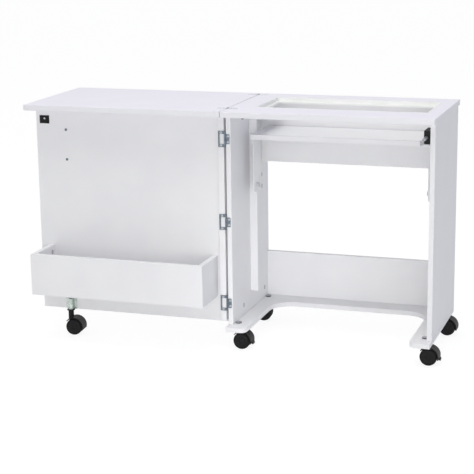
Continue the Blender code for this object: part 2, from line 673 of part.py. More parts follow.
def lift_plate(name, side, edge, lift):
    """A steel plate beside the post, turned in under the platform; side is +1 at the left."""
    half = LIFT_PLATE_DEEP / 2
    top = PLATFORM_UNDER - TOUCH
    on_side = (math.pi / 2, 0, math.pi / 2)
    sheet = plate(name, [rounded([
        (-half, -LIFT_PLATE_TALL, LIFT_PLATE_ROUND), (half, -LIFT_PLATE_TALL, LIFT_PLATE_ROUND),
        (half, 0, 0), (-half, 0, 0)])], LIFT_PLATE, on_side)
    middle = LIFT_PLATE_FRONT + half
    attach(sheet, lift, (edge + side * LIFT_PLATE / 2, middle, top), WHITE_STEEL)
    flange = box(f"{name}_flange", (LIFT_FLANGE, LIFT_PLATE_DEEP, LIFT_PLATE), CUTTERS)
    join(sheet, flange, (side * (LIFT_FLANGE - LIFT_PLATE) / 2, 0, -LIFT_PLATE / 2))
    low = LIFT_PLATE_ROUND - LIFT_PLATE_TALL
    cut(sheet, rod(f"{name}_hole", KNOB_SHANK + KNOB_CLEAR, 3 * LIFT_PLATE, "X",
                   group=CUTTERS), (0, 0, low))
    knob = rod(name.replace("plate", "knob"), KNOB_RADIUS, KNOB_LONG, "X")
    face = edge + side * (LIFT_PLATE + TOUCH)
    attach(knob, lift, (face + side * KNOB_LONG / 2, middle, top + low), GREY_PLASTIC)
    shank = rod(f"{knob.name}_shank", KNOB_SHANK, LIFT_PLATE + 2 * TOUCH, "X", group=CUTTERS)
    join(knob, shank, (-side * (KNOB_LONG + LIFT_PLATE) / 2, 0, 0))


# ---- touch latch ---------------------------------------------------------------------
def latch_body(table):
    middle = Vector((LATCH_X - LATCH_WIDE / 2, LATCH_FRONT + LATCH_DEEP / 2, LATCH_Z))
    body = box("latch_body", (LATCH_WIDE, LATCH_DEEP, LATCH_TALL))
    attach(body, table, middle, BLACK_PLASTIC)
    flange = box("latch_flange", (LATCH_FLANGE, LATCH_DEEP, LATCH_FLANGE_TALL), CUTTERS)
    join(body, flange, ((LATCH_WIDE - LATCH_FLANGE) / 2, 0, 0))
    deep = PLUNGER_TIP + PLUNGER_LONG + PLUNGER_TRAVEL + 2 * MM - LATCH_FRONT
    bore = rod("latch_bore", PLUNGER_RADIUS + PLUNGER_CLEAR, 2 * deep, "Y", group=CUTTERS)
    cut(body, bore, Vector((PLUNGER_X, LATCH_FRONT, LATCH_Z)) - middle)


def latch_plunger(slider):
    piece = rod("latch_plunger", PLUNGER_RADIUS, PLUNGER_LONG, "Y")
    attach(piece, slider, (PLUNGER_X, PLUNGER_TIP + PLUNGER_LONG / 2, LATCH_Z), GREY_PLASTIC)


# ---- casters -------------------------------------------------------------------------
def caster_hood(name, swivel, hub):
    """A curved shell over both wheels, open below; the wheel well later trims its inside."""
    shell = arc((0, 0), HOOD_OUTER, HOOD_START, HOOD_END, HOOD_STEPS)
    shell += arc((0, 0), WHEEL_RADIUS, HOOD_END, HOOD_START, HOOD_STEPS)
    return attach(plate(name, [shell], HOOD_WIDE, (math.pi / 2, 0, 0)), swivel, hub, BLACK_PLASTIC)


def caster_stem(frame, name, at_stem, under, top, head):
    """Boss, collar and stem above the hood, all cut clear of the wheels."""
    low, high = HOOD_INNER / 2, under - COLLAR_THICK / 2
    join(frame, rod(f"{name}_boss", BOSS_RADIUS, high - low, group=CUTTERS),
         at_stem + Vector((0, 0, (high + low) / 2)))
    join(frame, rod(f"{name}_collar", COLLAR_RADIUS, COLLAR_THICK, group=CUTTERS),
         at_stem + Vector((0, 0, under - COLLAR_THICK / 2)))
    root = under - 2 * COLLAR_THICK
    join(frame, rod(f"{name}_stem", STEM_RADIUS, top - root, group=CUTTERS),
         at_stem + Vector((0, 0, (top + root) / 2)))
    if head:
        join(frame, rod(f"{name}_head", STEM_HEAD_RADIUS, STEM_HEAD_THICK, group=CUTTERS),
             at_stem + Vector((0, 0, top - STEM_HEAD_THICK / 2)))
    well = arc((0, 0), HOOD_INNER, 0, 360, 2 * HOOD_STEPS + 4)[:-1]
    cut(frame, plate(f"{name}_well", [well], 2 * HOOD_WIDE, (math.pi / 2, 0, 0), CUTTERS))


def caster_frame(name, swivel, spot, under_z, stem_top, head, lock):
    """Hood, stem, lock lever, web between the wheels and axle, about the wheels' axis."""
    hub = Vector((spot[0] + CASTER_TRAIL, spot[1], WHEEL_RADIUS))
    side_on = (math.pi / 2, 0, 0)
    frame = caster_hood(name, swivel, hub)
    caster_stem(frame, name, Vector((-CASTER_TRAIL, 0, 0)), under_z - hub.z,
                stem_top - hub.z, head)
    if lock:
        root = (HOOD_INNER + HOOD_OUTER) / 2
        lever = [(root, 2 * MM), (LOCK_REACH, -6 * MM), (LOCK_REACH, -11 * MM), (root, -7 * MM)]
        join(frame, plate(f"{name}_lock", [lever], LOCK_WIDE, side_on, CUTTERS))
    first, last = HOOD_START + WEB_SETBACK, HOOD_END - WEB_SETBACK
    web = arc((0, 0), (HOOD_INNER + HOOD_OUTER) / 2, first, last, HOOD_STEPS)
    web += arc((0, 0), WHEEL_HUB, last + 25, first + 335, 8)
    join(frame, plate(f"{name}_web", [web], CASTER_WEB, side_on, CUTTERS))
    join(frame, rod(f"{name}_axle", AXLE_RADIUS, HOOD_WIDE - 2 * WHEEL_DISH, "Y", 10, CUTTERS))
    settle(frame)


def wheel_profile():
    """A tyre with rounded shoulders and a dished outer face; the outer face is up."""
    half, radius = WHEEL_WIDE / 2, WHEEL_RADIUS
    sunk = half - WHEEL_DISH
    bore = AXLE_RADIUS + AXLE_CLEAR
    return [(bore, sunk), (radius * 0.68, sunk), (radius * 0.74, half),
            (radius * 0.94, half), (radius, half * 0.55), (radius, -half * 0.70),
            (radius * 0.96, -half), (bore, -half)]


def caster_wheels(tag, swivel, spot):
    x, y = spot
    centre = Vector((x + CASTER_TRAIL, y, WHEEL_RADIUS))
    for side, name in ((-1, "a"), (1, "b")):
        place = centre + Vector((0, side * WHEEL_OFFSET, 0))
        axle = empty(f"axle_{tag}_{name}", place, swivel)
        wheel = turned(f"caster_wheel_{tag}_{name}", wheel_profile(), WHEEL_SIDES)
        attach(wheel, axle, place, BLACK_PLASTIC)
        wheel.rotation_euler = (-side * math.pi / 2, 0, 0)


def caster(tag, spot, parent, under_z, stem_top, head=True):
    swivel = empty(f"swivel_{tag}", (*spot, CASTER_HEIGHT), parent)
    caster_frame(f"caster_frame_{tag}", swivel, spot, under_z, stem_top, head,
                 lock=tag.startswith("front"))
    caster_wheels(tag, swivel, spot)
    swivel.rotation_euler.z = math.radians(REST_TURNS.get(tag, 0))


# ---- assembly ------------------------------------------------------------------------
def build_table():
    table = empty("table_origin", (0, 0, 0))
    door = empty("door_axis", (HINGE_X, HINGE_Y, 0), table)
    leaf = empty("leaf_axis", (0, 0, LEAF_AXIS_Z), table)
    lift = empty("lift_carriage", (LIFT_X, PLATFORM_FRONT, PLATFORM_UNDER), table)
    slider = empty("plunger_axis", (PLUNGER_X, PLUNGER_TIP, LATCH_Z), table)

    base_panel(table)
    side_panels(table)
    back_rails(table)
    lift_posts(table)
    main_top(table)
    rubber_feet(table)
    top_panel("leaf_panel", LEFT_END, leaf)
    for index, y in enumerate(LEAF_HINGE_YS):
        leaf_hinge(index, y, table, leaf)

    door_boards(door)
    tray(door)
    strike_plate(door)
    door_handle(door)
    caster_bracket(door)
    for index, z in enumerate(HINGE_HEIGHTS):
        door_hinge(index, z, table, door)

    platform(lift)
    lift_plate("lift_plate_left", 1, LIFT_X, lift)
    lift_plate("lift_plate_right", -1, LIFT_X_RIGHT, lift)
    latch_body(table)
    latch_plunger(slider)

    seated = BASE_TOP + TOUCH + STEM_HEAD_THICK
    for tag, spot in caster_spots().items():
        caster(tag, spot, table, CASTER_HEIGHT - TOUCH, seated)
    caster("door", (DOOR_CASTER_X, DOOR_CASTER_Y), door, DOOR_BOTTOM - TOUCH,
           DOOR_BOTTOM + BRACKET_TALL - TOUCH, head=False)


build_table()
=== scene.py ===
import json
import math

import bmesh
import bpy
from mathutils import Matrix, Vector

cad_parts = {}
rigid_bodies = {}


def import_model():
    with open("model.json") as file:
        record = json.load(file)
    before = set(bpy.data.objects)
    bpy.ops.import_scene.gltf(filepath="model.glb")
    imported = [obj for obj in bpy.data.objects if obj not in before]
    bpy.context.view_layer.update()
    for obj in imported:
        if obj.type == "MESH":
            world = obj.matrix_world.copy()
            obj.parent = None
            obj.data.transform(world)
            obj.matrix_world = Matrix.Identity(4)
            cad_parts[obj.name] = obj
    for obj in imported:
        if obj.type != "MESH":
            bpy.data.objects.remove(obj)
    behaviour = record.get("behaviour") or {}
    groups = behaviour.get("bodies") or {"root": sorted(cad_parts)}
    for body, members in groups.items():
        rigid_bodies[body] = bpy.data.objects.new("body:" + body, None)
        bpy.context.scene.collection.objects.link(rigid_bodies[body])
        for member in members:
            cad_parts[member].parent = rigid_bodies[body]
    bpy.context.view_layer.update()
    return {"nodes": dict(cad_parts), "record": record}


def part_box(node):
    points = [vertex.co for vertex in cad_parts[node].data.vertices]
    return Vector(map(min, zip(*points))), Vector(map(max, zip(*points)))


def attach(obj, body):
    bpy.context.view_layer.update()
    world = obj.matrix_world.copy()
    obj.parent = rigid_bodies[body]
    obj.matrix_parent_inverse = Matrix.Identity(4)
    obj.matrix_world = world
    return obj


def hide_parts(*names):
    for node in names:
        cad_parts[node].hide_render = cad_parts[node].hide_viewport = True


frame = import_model()
mm = 0.001
nodes = frame["nodes"]
joints = {joint["name"]: joint for joint in frame["record"]["behaviour"]["joints"]}
casterTags = ("front_left", "front_right", "rear_left", "rear_right", "door")
hingeTags = ("lower", "middle", "upper")
print("frame loaded,", len(nodes), "pieces")


def linear(hexCode):
    # an sRGB hex value as the linear colour that a shader takes
    channels = [int(hexCode[i:i + 2], 16) / 255 for i in (1, 3, 5)]
    return [c / 12.92 if c <= 0.04045 else ((c + 0.055) / 1.055) ** 2.4 for c in channels] + [1]


def addNode(tree, kind, settings, *links):
    # settings name a property or an input; a link is (input, source node, output)
    node = tree.nodes.new("ShaderNode" + kind)
    for name, value in settings.items():
        if isinstance(name, str) and hasattr(node, name):
            setattr(node, name, value)
        else:
            node.inputs[name].default_value = value
    for socket, source, output in links:
        tree.links.new(source.outputs[output], node.inputs[socket])
    return node


def startFinish(look):
    # a new material with its shader's own values set, and the node that places its patterns
    finish = bpy.data.materials.new(look["name"])
    finish.use_nodes = True
    tree = finish.node_tree
    shader = tree.nodes["Principled BSDF"]
    shader.inputs["Metallic"].default_value = look.get("metallic", 0)
    if "ior" in look:
        shader.inputs["IOR"].default_value = look["ior"]
        shader.inputs["Specular IOR Level"].default_value = look.get("sheen", 0.5)
    coords = addNode(tree, "TexCoord", {})
    return finish, tree, shader, coords


def twoTones(tree, look, span, source):
    # the deep tone below the span, the pale one above it, and a blend between
    tones = addNode(tree, "ValToRGB", {}, ("Fac", source, 0))
    for element, position, tone in zip(tones.color_ramp.elements, span, ("deep", "pale")):
        element.position = position
        element.color = linear(look[tone])
    return tones


def joinShader(tree, shader, tones, gloss, relief):
    tree.links.new(tones.outputs["Color"], shader.inputs["Base Color"])
    tree.links.new(gloss.outputs[0], shader.inputs["Roughness"])
    tree.links.new(relief.outputs[0], shader.inputs["Normal"])


# a noise's values crowd round a half, so only the middle of its range is spread out
pattern = {"tones": (0.35, 0.65), "gloss": (0.3, 0.7), "grainShare": 0.35, "bite": 0.5,
           "cloudDetail": 3.0, "grainDetail": 2.0}


def grainedFinish(look):
    # two close tones in soft clouds, roughness that drifts with them, and a fine raised grain
    finish, tree, shader, coords = startFinish(look)
    stretch = addNode(tree, "Mapping", {"Scale": look.get("stretch", (1, 1, 1))},
                      ("Vector", coords, "Object"))
    clouds = addNode(tree, "TexNoise", {"Scale": 1 / look["cloudSize"],
                                        "Detail": pattern["cloudDetail"]},
                     ("Vector", coords, "Object"))
    grain = addNode(tree, "TexNoise", {"Scale": 1 / look["grainSize"],
                                       "Detail": pattern["grainDetail"]},
                    ("Vector", stretch, 0))
    share = look.get("grainShare", pattern["grainShare"])
    blend = addNode(tree, "Mix", {"data_type": "FLOAT", "Factor": share},
                    ("A", clouds, 0), ("B", grain, 0))
    tones = twoTones(tree, look, pattern["tones"], blend)
    least, most = pattern["gloss"]
    low, high = look["roughness"]
    gloss = addNode(tree, "MapRange", {"From Min": least, "From Max": most, "To Min": low,
                                       "To Max": high}, ("Value", blend, 0))
    relief = addNode(tree, "Bump", {"Strength": pattern["bite"],
                                    "Distance": look["grainDepth"]}, ("Height", grain, 0))
    joinShader(tree, shader, tones, gloss, relief)
    return finish


# melamine-faced particle board, pressed on a pebbled plate: a white satin sheet whose
# highlights break up slightly; the pebble is really 0.6 mm and is drawn at 1.5 mm to show
melamineBoard = grainedFinish({
    "name": "melamineFacedBoard", "pale": "#F2F2F3", "deep": "#EEEEF0", "cloudSize": 120 * mm,
    "grainSize": 1.5 * mm, "grainDepth": 0.05 * mm, "roughness": (0.40, 0.50), "ior": 1.5})

# high-pressure laminate on the tops, pressed smooth: a cooler, slightly glossier white, with
# a neutral white band glued round the edges
tops = {
    "name": "laminateTop", "pale": "#EFEDF8", "deep": "#EAE8F4", "cloudSize": 150 * mm,
    "grainSize": 1.2 * mm, "grainDepth": 0.03 * mm, "roughness": (0.32, 0.40), "ior": 1.5,
    "band": "#EAEAED", "steepness": (0.4, 0.8)}
laminateTop = grainedFinish(tops)


def bandEdges(finish, look):
    # the face turned up or down keeps the laminate's colour, the four edges take the band's
    tree = finish.node_tree
    shader = tree.nodes["Principled BSDF"]
    sheet = shader.inputs["Base Color"].links[0].from_node
    coords = addNode(tree, "TexCoord", {})
    facing = addNode(tree, "SeparateXYZ", {}, ("Vector", coords, "Normal"))
    steep = addNode(tree, "Math", {"operation": "ABSOLUTE"}, (0, facing, "Z"))
    least, most = look["steepness"]
    share = addNode(tree, "MapRange", {"From Min": least, "From Max": most}, ("Value", steep, 0))
    mix = addNode(tree, "Mix", {"data_type": "RGBA", 6: linear(look["band"])},
                  ("Factor", share, 0), (7, sheet, "Color"))
    tree.links.new(mix.outputs[2], shader.inputs["Base Color"])


bandEdges(laminateTop, tops)

# injection-moulded ABS frame round the opening: warm white with a fine spark-eroded matt
mouldedAbs = grainedFinish({
    "name": "mouldedAbs", "pale": "#F9F9F8", "deep": "#F5F6F3", "cloudSize": 60 * mm,
    "grainSize": 0.8 * mm, "grainDepth": 0.04 * mm, "roughness": (0.38, 0.48), "ior": 1.53})

# epoxy powder coat on the lift plates: white, with the soft orange peel of baked powder
powderCoat = grainedFinish({
    "name": "powderCoat", "pale": "#EFF0F2", "deep": "#E9EAED", "cloudSize": 40 * mm,
    "grainSize": 2.0 * mm, "grainDepth": 0.10 * mm, "roughness": (0.30, 0.38), "ior": 1.5})

# glass-filled nylon, injection moulded: near black, its moulded grain greys the highlights
castNylon = grainedFinish({
    "name": "glassFilledNylon", "pale": "#151517", "deep": "#0E0E10", "cloudSize": 14 * mm,
    "grainSize": 0.7 * mm, "grainDepth": 0.08 * mm, "roughness": (0.42, 0.58), "ior": 1.53,
    "sheen": 0.2})

# polyurethane tread cast on the wheels: black, duller than the nylon, scuffed round the rim
castTread = grainedFinish({
    "name": "castPolyurethane", "pale": "#1B1B1C", "deep": "#111112", "cloudSize": 9 * mm,
    "grainSize": 1.1 * mm, "grainDepth": 0.10 * mm, "roughness": (0.58, 0.74), "ior": 1.5,
    "sheen": 0.2})

# moulded rubber of the bumpers: dead black-brown with a dusty bloom
mouldedRubber = grainedFinish({
    "name": "mouldedRubber", "pale": "#3A3836", "deep": "#262524", "cloudSize": 5 * mm,
    "grainSize": 0.6 * mm, "grainDepth": 0.06 * mm, "roughness": (0.68, 0.85), "ior": 1.52})

# polypropylene of the plunger and stem caps: mid grey, waxy, with faint flow clouds
mouldedPolypropylene = grainedFinish({
    "name": "mouldedPolypropylene", "pale": "#A9ABAF", "deep": "#97999E", "cloudSize": 6 * mm,
    "grainSize": 0.5 * mm, "grainDepth": 0.03 * mm, "roughness": (0.36, 0.48), "ior": 1.49})

# the same plastic in the knobs, nearly white so that they go with the boards
paleKnob = grainedFinish({
    "name": "palePolypropylene", "pale": "#DADCDF", "deep": "#CBCED2", "cloudSize": 6 * mm,
    "grainSize": 0.5 * mm, "grainDepth": 0.03 * mm, "roughness": (0.36, 0.48), "ior": 1.49})

# nickel-plated steel, rolled and tumbled: cool grey metal whose fine lines run along the roll; its
# colour is painted far darker than bright nickel, as a painted dark reflection
nickelPaintedDark = grainedFinish({
    "name": "nickelPaintedDarkReflection", "pale": "#8A949E", "deep": "#545D66", "cloudSize": 12 * mm,
    "stretch": (1, 1, 0.12), "grainSize": 0.5 * mm, "grainDepth": 0.02 * mm,
    "grainShare": 0.6, "roughness": (0.26, 0.42), "metallic": 1})

# nickel-plated pin and screw heads, cold headed: the same metal in its own pale colour, without the
# painted dark reflection, and smoother
brightNickel = grainedFinish({
    "name": "brightNickel", "pale": "#D0D4D8", "deep": "#B8BDC3", "cloudSize": 4 * mm,
    "grainSize": 0.6 * mm, "grainDepth": 0.01 * mm, "roughness": (0.20, 0.32), "metallic": 1})

# zinc die casting of the cam fasteners: dull pale grey with a sandy cast skin
castZinc = grainedFinish({
    "name": "dieCastZinc", "pale": "#C3C5C8", "deep": "#AEB0B4", "cloudSize": 5 * mm,
    "grainSize": 0.7 * mm, "grainDepth": 0.04 * mm, "roughness": (0.42, 0.56), "metallic": 1})

# hot-dip galvanised steel of the caster bracket: zinc crystals that each catch the light at
# their own angle; a crystal is 3 to 6 mm across
galvanised = {
    "name": "galvanisedSpangle", "metallic": 1, "crystal": 4.5 * mm, "pale": "#D3DBD6",
    "deep": "#A9B5B0", "tones": (0.2, 0.8), "roughness": (0.26, 0.52), "grainSize": 0.6 * mm,
    "grainDepth": 0.02 * mm, "bite": 0.4}


def spangledZinc(look):
    finish, tree, shader, coords = startFinish(look)
    crystals = addNode(tree, "TexVoronoi", {"Scale": 1 / look["crystal"], "Randomness": 1.0},
                       ("Vector", coords, "Object"))
    grey = addNode(tree, "RGBToBW", {}, ("Color", crystals, "Color"))
    tones = twoTones(tree, look, look["tones"], grey)
    low, high = look["roughness"]
    gloss = addNode(tree, "MapRange", {"To Min": low, "To Max": high}, ("Value", grey, 0))
    grain = addNode(tree, "TexNoise", {"Scale": 1 / look["grainSize"]}, ("Vector", coords, "Object"))
    relief = addNode(tree, "Bump", {"Strength": look["bite"], "Distance": look["grainDepth"]},
                     ("Height", grain, 0))
    joinShader(tree, shader, tones, gloss, relief)
    return finish


spangledSteel = spangledZinc(galvanised)
print("finishes made")

# the finish that each of the record's slots takes
finishOf = {
    "white_board": melamineBoard, "white_top": laminateTop, "cream_trim": mouldedAbs,
    "painted_steel": powderCoat, "hinge_steel": nickelPaintedDark, "galvanised_steel": spangledSteel,
    "black_plastic": castNylon, "grey_plastic": mouldedPolypropylene,
    "black_rubber": mouldedRubber}
edgeRounding = {   # how far each kind of edge is eased, and the facets across it
    "white_board": (0.7 * mm, 3), "white_top": (1.2 * mm, 4), "cream_trim": (0.6 * mm, 2),
    "painted_steel": (0.5 * mm, 2), "galvanised_steel": (0.3 * mm, 2)}
easing = {"weld": 0.01 * mm, "sharp": 40}
slotOf = {part["node"]: part["material_slot"] for part in frame["record"]["subparts"]}


def easeEdges(piece, width, steps):
    # sawn and banded edges are never sharp: a small round that catches a line of light
    weld = piece.modifiers.new("seam", "WELD")
    weld.merge_threshold = easing["weld"]
    bevel = piece.modifiers.new("easedEdge", "BEVEL")
    bevel.width = width
    bevel.segments = steps
    bevel.limit_method = "ANGLE"
    bevel.angle_limit = math.radians(easing["sharp"])
    normals = piece.modifiers.new("faceNormals", "WEIGHTED_NORMAL")
    normals.keep_sharp = False


for name, piece in nodes.items():
    kind = slotOf[name]
    piece.data.materials.clear()
    piece.data.materials.append(brightNickel if name.startswith("leaf_hinge") else finishOf[kind])
    if kind in edgeRounding:
        easeEdges(piece, *edgeRounding[kind])
print("carried-over pieces finished")


def shadeMesh(mesh, crease=32):
    # smooth, except across edges sharper than crease degrees
    mesh.shade_smooth()
    mesh.set_sharp_from_angle(angle=math.radians(crease))
    return mesh


def keepMesh(work, name, crease=32):
    mesh = bpy.data.meshes.new(name)
    bmesh.ops.recalc_face_normals(work, faces=work.faces)
    work.to_mesh(mesh)
    work.free()
    return shadeMesh(mesh, crease)


def lathe(name, profile, sides):
    # a closed turned shape about local Z from (radius, height) points
    work = bmesh.new()
    ring = [work.verts.new((radius, 0, height)) for radius, height in profile]
    edges = [work.edges.new(pair) for pair in zip(ring, ring[1:])]
    bmesh.ops.spin(work, geom=ring + edges, axis=(0, 0, 1), cent=(0, 0, 0),
                   steps=sides, angle=2 * math.pi, use_duplicate=False)
    bmesh.ops.remove_doubles(work, verts=work.verts, dist=0.001 * mm)
    return keepMesh(work, name)


def prism(name, outline, low, high):
    # a flat outline in local XY raised from low to high
    work = bmesh.new()
    face = work.faces.new([work.verts.new((x, y, low)) for x, y in outline])
    raised = bmesh.ops.extrude_face_region(work, geom=[face])
    top = [item for item in raised["geom"] if isinstance(item, bmesh.types.BMVert)]
    bmesh.ops.translate(work, verts=top, vec=(0, 0, high - low))
    return keepMesh(work, name)


def carve(mesh, cutters, name):
    # mesh with the cutters taken out, as a mesh of its own
    blank = bpy.data.objects.new(name, mesh)
    bpy.context.collection.objects.link(blank)
    tools = []
    for cutter in cutters:
        tool = bpy.data.objects.new(name + "Tool", cutter)
        bpy.context.collection.objects.link(tool)
        cut = blank.modifiers.new("cut", "BOOLEAN")
        cut.operation = "DIFFERENCE"
        cut.object = tool
        tools.append(tool)
    bpy.context.view_layer.update()
    shaped = blank.evaluated_get(bpy.context.evaluated_depsgraph_get())
    made = bpy.data.meshes.new_from_object(shaped)
    made.name = name
    for spare in [blank] + tools:
        bpy.data.objects.remove(spare)
    return shadeMesh(made)


def place(name, mesh, at, facing, body, finish, turn=0.0):
    # local Z of the mesh points along facing, turned by turn degrees about it
    piece = bpy.data.objects.new(name, mesh)
    bpy.context.collection.objects.link(piece)
    spin = Matrix.Rotation(math.radians(turn), 3, "Z").to_quaternion()
    turned = Vector(facing).normalized().to_track_quat("Z", "Y") @ spin
    piece.matrix_world = Matrix.Translation(at) @ turned.to_matrix().to_4x4()
    if not mesh.materials:
        mesh.materials.append(finish)
    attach(piece, body)
    return piece


def middle(name):
    low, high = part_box(name)
    return (low + high) / 2


def plus(arm, half):
    # the outline of a cross recess
    corners = [(half, half), (arm, half), (arm, -half), (half, -half), (half, -arm), (-half, -arm)]
    turned = [(-x, -y) for x, y in corners]
    return corners + turned


# cross-recess screws; each one stops at an angle of its own
screws = {
    "truss": {"head": 4.4 * mm, "rise": 2.0 * mm, "arm": 2.2 * mm, "slot": 0.55 * mm},
    "pan": {"head": 3.2 * mm, "rise": 1.7 * mm, "arm": 1.9 * mm, "slot": 0.45 * mm},
    "flush": {"head": 3.4 * mm, "rise": 0.2 * mm, "arm": 2.0 * mm, "slot": 0.5 * mm},
    "shank": 1.2 * mm, "neck": 0.5, "lip": 0.1 * mm, "rim": 0.25, "fullness": 0.8, "recess": 1.1 * mm,
    "overcut": 1.0 * mm, "steps": 6, "facets": 28, "turns": (15, 52, 78, 33, 61, 7)}


def screwHead(name, head, rise, arm, slot):
    # a pressed head with a cross recess, its neck let into the sheet under it
    steps, rim = screws["steps"], screws["rim"]
    profile = [(0, -screws["shank"]), (head * screws["neck"], -screws["shank"]),
               (head, -screws["lip"])]
    for step in range(steps + 1):
        angle = math.pi / 2 * step / steps
        radius = head * math.cos(angle) ** screws["fullness"] if step < steps else 0
        profile.append((radius, rise * (rim + (1 - rim) * math.sin(angle))))
    recess = prism(name + "Recess", plus(arm, slot), rise - screws["recess"],
                   rise + screws["overcut"])
    return carve(lathe(name + "Blank", profile, screws["facets"]), [recess], name)


heads = {kind: screwHead(kind + "Head", **screws[kind]) for kind in ("truss", "pan", "flush")}


def drive(kind, name, at, facing, body, finish=None):
    turn = screws["turns"][len(bpy.data.objects) % len(screws["turns"])]
    return place(name, heads[kind], at, facing, body, finish or brightNickel, turn)


front = Vector((0, -1, 0))
up = Vector((0, 0, 1))
side = Vector((1, 0, 0))

doorHinge = {"plate": 1.4 * mm, "outerScrew": 20 * mm, "outerReach": 12.5 * mm,
             "innerScrew": 9 * mm, "innerReach": 10.5 * mm}
for tag in hingeTags:
    axis = middle(f"door_hinge_{tag}_pin")
    face = axis.y - doorHinge["plate"] / 2
    for end in (-1, 1):
        drive("flush", f"hingeScrewDoor_{tag}_{end + 1}",
              (axis.x - doorHinge["outerReach"], face, axis.z + end * doorHinge["outerScrew"]),
              front, "door")
        drive("flush", f"hingeScrewSide_{tag}_{end + 1}",
              (axis.x + doorHinge["innerReach"], face, axis.z + end * doorHinge["innerScrew"]),
              front, "cabinet")

leafHinge = {"near": 12 * mm, "far": 27 * mm, "sunk": 0.15 * mm}
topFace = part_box("main_top")[1].z - leafHinge["sunk"]
seam = joints["leaf_fold"]["pos_m"][0]
for tag in ("front", "rear"):
    for owner, way, body in (("main", 1, "cabinet"), ("leaf", -1, "leaf")):
        spot = middle(f"leaf_hinge_{tag}_{owner}")
        for reach in ("near", "far"):
            drive("flush", f"leafScrew_{tag}_{owner}_{reach}",
                  (seam + way * leafHinge[reach], spot.y, topFace), up, body)

strike = {"across": 0.52, "up": 0.62}               # the screw's place, as shares of the plate
low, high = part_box("strike_plate")
drive("pan", "strikeScrew", (low.x + strike["across"] * (high.x - low.x), low.y,
                             low.z + strike["up"] * (high.z - low.z)), front, "door")
print("screws driven")

# knock-down cams, let into the side panels and one tray end
cam = {"radius": 7.5 * mm, "proud": 0.35 * mm, "deep": 1.5 * mm, "chamfer": 0.4 * mm,
       "arm": 3.4 * mm, "slot": 0.9 * mm, "recess": 1.0 * mm, "overcut": 2.0 * mm, "facets": 36,
       "spots": ((-22 * mm, 115 * mm), (203 * mm, 115 * mm), (182 * mm, 506 * mm), (182 * mm, 466 * mm)),
       "turnLeft": 20, "turnRight": 35, "trayInset": 18 * mm, "trayDrop": 22 * mm, "trayTurn": 10}
camBlank = lathe("camBlank", [(0, -cam["deep"]), (cam["radius"], -cam["deep"]),
                              (cam["radius"], cam["proud"] * 0.5),
                              (cam["radius"] - cam["chamfer"], cam["proud"]), (0, cam["proud"])],
                 cam["facets"])
camRecess = prism("camRecess", plus(cam["arm"], cam["slot"]), -cam["recess"], cam["overcut"])
camMesh = carve(camBlank, [camRecess], "camLock")
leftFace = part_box("left_side_panel")[1].x
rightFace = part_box("right_side_panel")[0].x
for number, (y, z) in enumerate(cam["spots"]):
    place(f"camLeft_{number}", camMesh, (leftFace, y, z), side, "cabinet", castZinc,
          cam["turnLeft"] * number)
    place(f"camRight_{number}", camMesh, (rightFace, y, z), -side, "cabinet", castZinc,
          cam["turnRight"])
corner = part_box("tray_left_end")[1]
place("camTray", camMesh, (corner.x, corner.y - cam["trayInset"], corner.z - cam["trayDrop"]), side,
      "door", castZinc, cam["trayTurn"])

# the handle's bolts come through to the door's inner face; their heads take the darkened nickel, a
# painted dark reflection
handle = {"spacing": 96 * mm}
bow = middle("door_handle")
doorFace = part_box("door_panel")[0].y
for number, end in enumerate((-1, 1)):
    drive("truss", f"handleBolt_{number}", (bow.x, doorFace, bow.z + end * handle["spacing"] / 2),
          front, "door", nickelPaintedDark)
print("cams and bolts placed")

# caster wheels, turned finer than the frame's
wheel = {
    "radius": 27 * mm, "wide": 16 * mm, "bore": 3.4 * mm, "dish": 2 * mm, "back": 0.2 * mm,
    "backShare": 0.90, "crown": 2.6 * mm, "bow": 80, "crownSteps": 8, "crownWide": 0.95431,
    # the seam between tread and disc, then the disc's shoulder: shares of radius and half width
    "shoulder": ((0.885, 0.90), (0.87, 0.80), (0.855, 0.93), (0.74, 1.0)),
    # the sunk face and its hub: shares of the radius, and heights above the sunk face
    "face": ((0.69, 0.4 * mm), (0.66, 0), (0.40, 0), (0.38, 0.7 * mm), (0.30, 0.9 * mm),
             (0.27, -0.3 * mm)),
    "hubSunk": 0.3 * mm, "treadFrom": 0.88, "facets": 72}


def wheelProfile():
    # from the bore out along the inner face, over the tread's crown and back down the outer face
    half, radius, bore = wheel["wide"] / 2, wheel["radius"], wheel["bore"]
    sunk = half - wheel["dish"]
    inner = -half + wheel["back"]
    points = [(bore, inner), (radius * wheel["backShare"], inner)]
    for step in range(wheel["crownSteps"] + 1):
        angle = math.radians(wheel["bow"] * (2 * step / wheel["crownSteps"] - 1))
        points.append((radius - wheel["crown"] * (1 - math.cos(angle)),
                       half * wheel["crownWide"] * math.sin(angle)))
    points += [(radius * share, half * wide) for share, wide in wheel["shoulder"]]
    points += [(radius * share, sunk + rise) for share, rise in wheel["face"]]
    return points + [(bore, sunk - wheel["hubSunk"]), (bore, inner)]


wheelMesh = lathe("twinWheel", wheelProfile(), wheel["facets"])
wheelMesh.materials.append(castNylon)
wheelMesh.materials.append(castTread)
for polygon in wheelMesh.polygons:
    spoke = math.hypot(polygon.center.x, polygon.center.y)
    polygon.material_index = 1 if spoke > wheel["radius"] * wheel["treadFrom"] else 0
for tag in casterTags:
    for sign, letter in ((-1, "a"), (1, "b")):
        outward = sign * Vector(joints[f"spin_{tag}_{letter}"]["axis"])
        hub = Vector(joints[f"spin_{tag}_{letter}"]["pos_m"])
        made = place(f"twinWheel_{tag}_{letter}", wheelMesh, hub, outward,
                     f"wheel_{tag}_{letter}", castNylon)
        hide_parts(f"caster_wheel_{tag}_{letter}")
print("wheels turned")

# rubber wall bumpers: a short wall, then a dome
bumper = {"radius": 6 * mm, "deep": 3 * mm, "wall": 0.45, "taper": 0.97,
          "dome": (15, 30, 45, 60, 75), "facets": 32}


